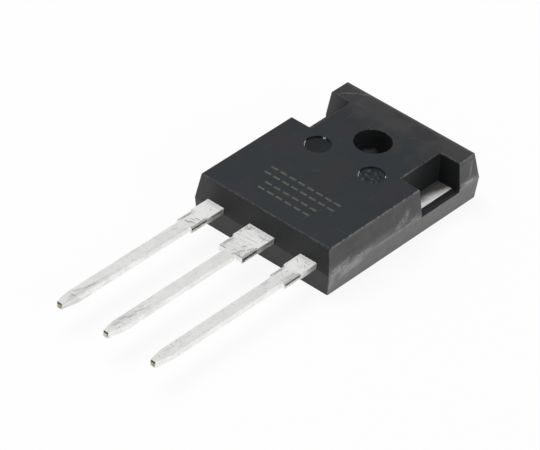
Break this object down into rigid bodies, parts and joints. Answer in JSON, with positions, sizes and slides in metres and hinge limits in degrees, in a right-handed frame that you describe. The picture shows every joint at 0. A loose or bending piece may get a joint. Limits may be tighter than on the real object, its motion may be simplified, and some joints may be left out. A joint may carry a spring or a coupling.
{
  "type": "darlington transistor",
  "caption": "Power darlington transistor: drafted black moulded body with a screw hole, side notches, a bare heat tab on its back and a row of straight flat leads.",
  "frame": {"origin": "on the mounting hole's axis, at the back face that seats on a heat sink", "axes": "+Z along the mounting hole, out of the front face; the leads run towards -Y; +X is the side of the emitter lead"},
  "size_m": [0.016, 0.0405, 0.005],
  "materials": {
    "mould_compound": "matte",
    "tinned_copper": "satin",
    "solder": "satin",
    "silicon": "polished",
    "aluminium_wire": "satin"
  },
  "bodies": {
    "root": {"moulded_body": "mould_compound", "collector_tab": "tinned_copper", "base_lead": "tinned_copper", "emitter_lead": "tinned_copper", "die_solder": "solder", "darlington_die": "silicon", "base_bond_wire": "aluminium_wire", "emitter_bond_wire_1": "aluminium_wire", "emitter_bond_wire_2": "aluminium_wire"}
  },
  "joints": []
}
